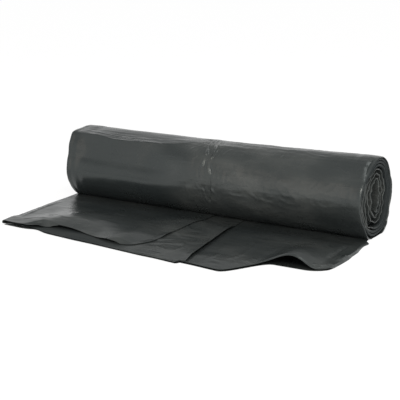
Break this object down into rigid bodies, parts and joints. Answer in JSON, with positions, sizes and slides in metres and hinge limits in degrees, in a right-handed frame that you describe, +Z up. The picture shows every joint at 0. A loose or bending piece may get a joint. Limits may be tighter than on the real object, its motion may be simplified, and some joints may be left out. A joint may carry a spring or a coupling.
{
  "type": "bin bag roll",
  "caption": "Coreless roll of folded black bin bags lying on its side, with the free end of the outermost bag laid out in front of it.",
  "frame": {"origin": "on the floor below the middle of the roll's axis, inside the flat spot that the roll rests on", "axes": "+X along the roll, towards its round end; -Y towards the edge of the free end that lies in front; +Z up"},
  "size_m": [0.3575, 0.2165, 0.0816],
  "materials": {
    "film": "soft semi-gloss black polyethylene film"
  },
  "bodies": {
    "root": {"bag_roll": "film"}
  },
  "joints": []
}
